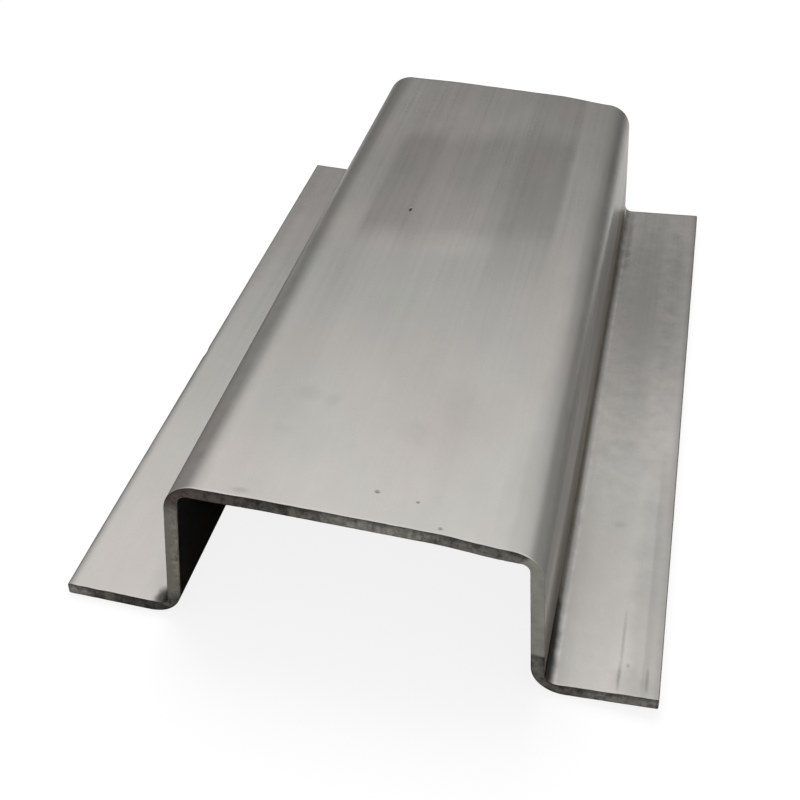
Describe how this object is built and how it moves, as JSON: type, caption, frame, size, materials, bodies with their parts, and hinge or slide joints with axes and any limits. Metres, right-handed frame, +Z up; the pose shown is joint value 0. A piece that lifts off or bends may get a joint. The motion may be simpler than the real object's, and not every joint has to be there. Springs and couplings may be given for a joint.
{
  "type": "hat channel",
  "caption": "Short length of bent steel hat channel: a flat crown on leaning webs with an outward lip along each foot, used as a spacer rail between a frame and its cladding.",
  "frame": {"origin": "middle of the underside, level with the lowest point of the lips", "axes": "+X across the section, +Y along the length, +Z up from the lips to the crown"},
  "size_m": [0.13, 0.2, 0.04],
  "materials": {
    "mill_steel": "bare mill finish, satin, lightly scuffed"
  },
  "bodies": {
    "root": {"hat_channel": "mill_steel"}
  },
  "joints": []
}
